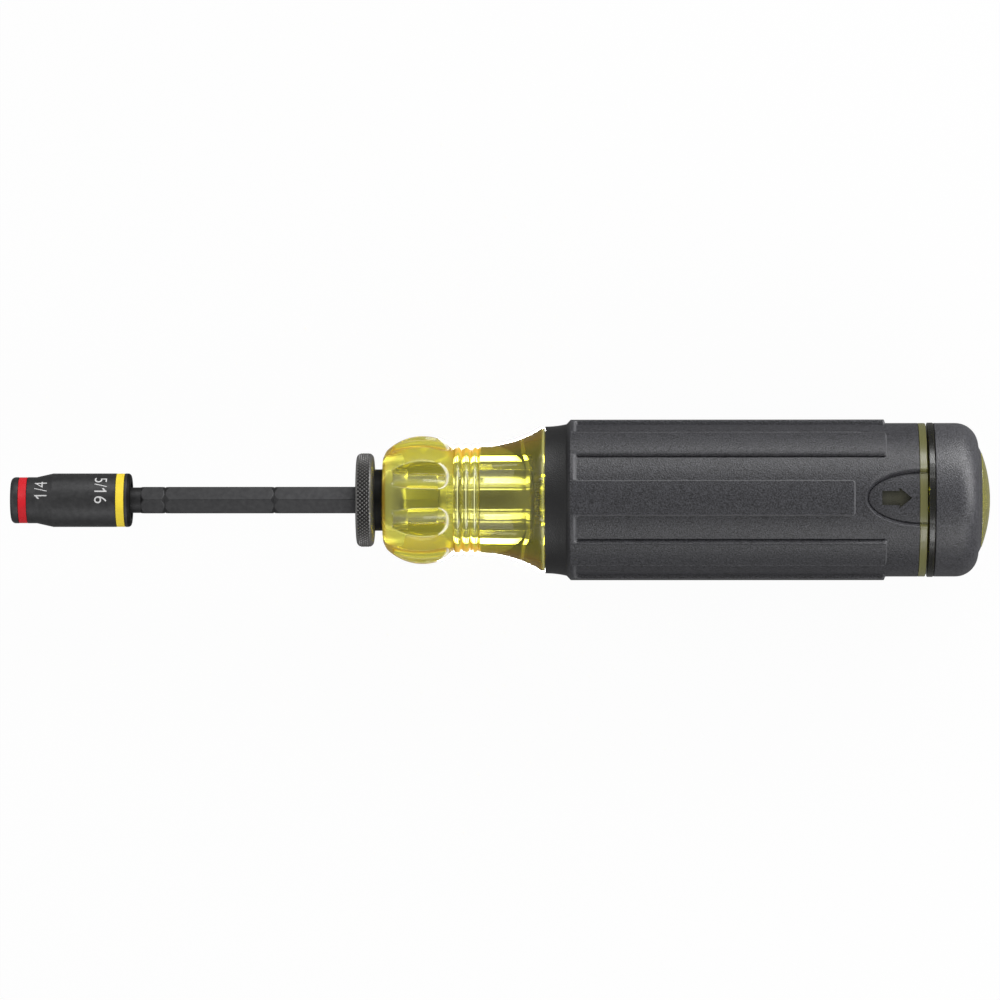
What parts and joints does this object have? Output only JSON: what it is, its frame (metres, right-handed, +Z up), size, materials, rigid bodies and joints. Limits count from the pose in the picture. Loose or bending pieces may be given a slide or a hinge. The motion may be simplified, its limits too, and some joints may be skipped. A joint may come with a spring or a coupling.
{
  "type": "multi-bit screwdriver",
  "caption": "Hand screwdriver with a sliding hex shaft in a quick-release collar, a flip nut socket on its tip, a fluted translucent handle with rubber grip, and a turning cap over stored bits.",
  "frame": {"origin": "middle of the tool's length, under its axis, at the level of the lowest grip land", "axes": "+X along the tool from the socket to the cap, +Z up through the thumb rest's arrow"},
  "size_m": [0.2374, 0.039, 0.0389],
  "materials": {
    "black_oxide_steel": "black oxide, satin",
    "bright_steel": "plain steel, satin",
    "yellow_acetate": "clear yellow, polished",
    "grey_rubber": "fine matt grain",
    "red_band": "smooth",
    "yellow_band": "smooth"
  },
  "bodies": {
    "handle": {"handle_core": "yellow_acetate", "guide_tube": "bright_steel", "neck_sleeve": "bright_steel", "grip_sleeve": "grey_rubber", "chuck_body": "bright_steel", "collar_snap_ring": "bright_steel", "collar_spring": "bright_steel", "detent_spring": "bright_steel", "cap_washer": "bright_steel", "cap_screw": "bright_steel", "bit_cross_large": "bright_steel", "bit_slotted": "bright_steel", "bit_square": "bright_steel", "bit_star_small": "bright_steel", "bit_star_large": "bright_steel"},
    "shaft": {"hex_shaft": "black_oxide_steel", "socket_retaining_ring": "bright_steel"},
    "socket": {"flip_socket": "black_oxide_steel", "socket_band_red": "red_band", "socket_band_yellow": "yellow_band"},
    "collar": {"release_collar": "black_oxide_steel"},
    "locking_ball": {"lock_ball": "bright_steel"},
    "cap": {"cap_core": "yellow_acetate", "cap_grip": "grey_rubber", "cap_plug": "yellow_acetate"},
    "detent": {"detent_ball": "bright_steel"},
    "outlet_bit": {"bit_cross_small": "bright_steel"}
  },
  "joints": [
    {"name": "shaft_slide", "type": "slide", "parent": "handle", "child": "shaft", "axis": [-1, 0, 0], "range_m": [-0.053, 0.053]},
    {"name": "socket_slide", "type": "slide", "parent": "shaft", "child": "socket", "axis": [-1, 0, 0], "range_m": [0, 0.02]},
    {"name": "collar_slide", "type": "slide", "parent": "handle", "child": "collar", "axis": [1, 0, 0], "range_m": [0, 0.002], "stiffness_N_per_m": 800, "springref_m": -0.004, "deforming": ["collar_spring"]},
    {"name": "ball_slide", "type": "slide", "parent": "handle", "child": "locking_ball", "axis": [0, 1, 0], "range_m": [0, 0.00045]},
    {"name": "cap_turn", "type": "hinge", "parent": "handle", "child": "cap", "pos_m": [0.10337, 0, 0.01947], "axis": [1, 0, 0], "continuous": true},
    {"name": "detent_slide", "type": "slide", "parent": "handle", "child": "detent", "axis": [-1, 0, 0], "range_m": [0, 0.0006], "stiffness_N_per_m": 400, "springref_m": -0.002, "deforming": ["detent_spring"]},
    {"name": "bit_slide", "type": "slide", "parent": "handle", "child": "outlet_bit", "axis": [1, 0, 0], "range_m": [0, 0.07]}
  ],
  "couplings": [
    {"joint": "ball_slide", "follows": "collar_slide", "ratio": 0.225}
  ]
}
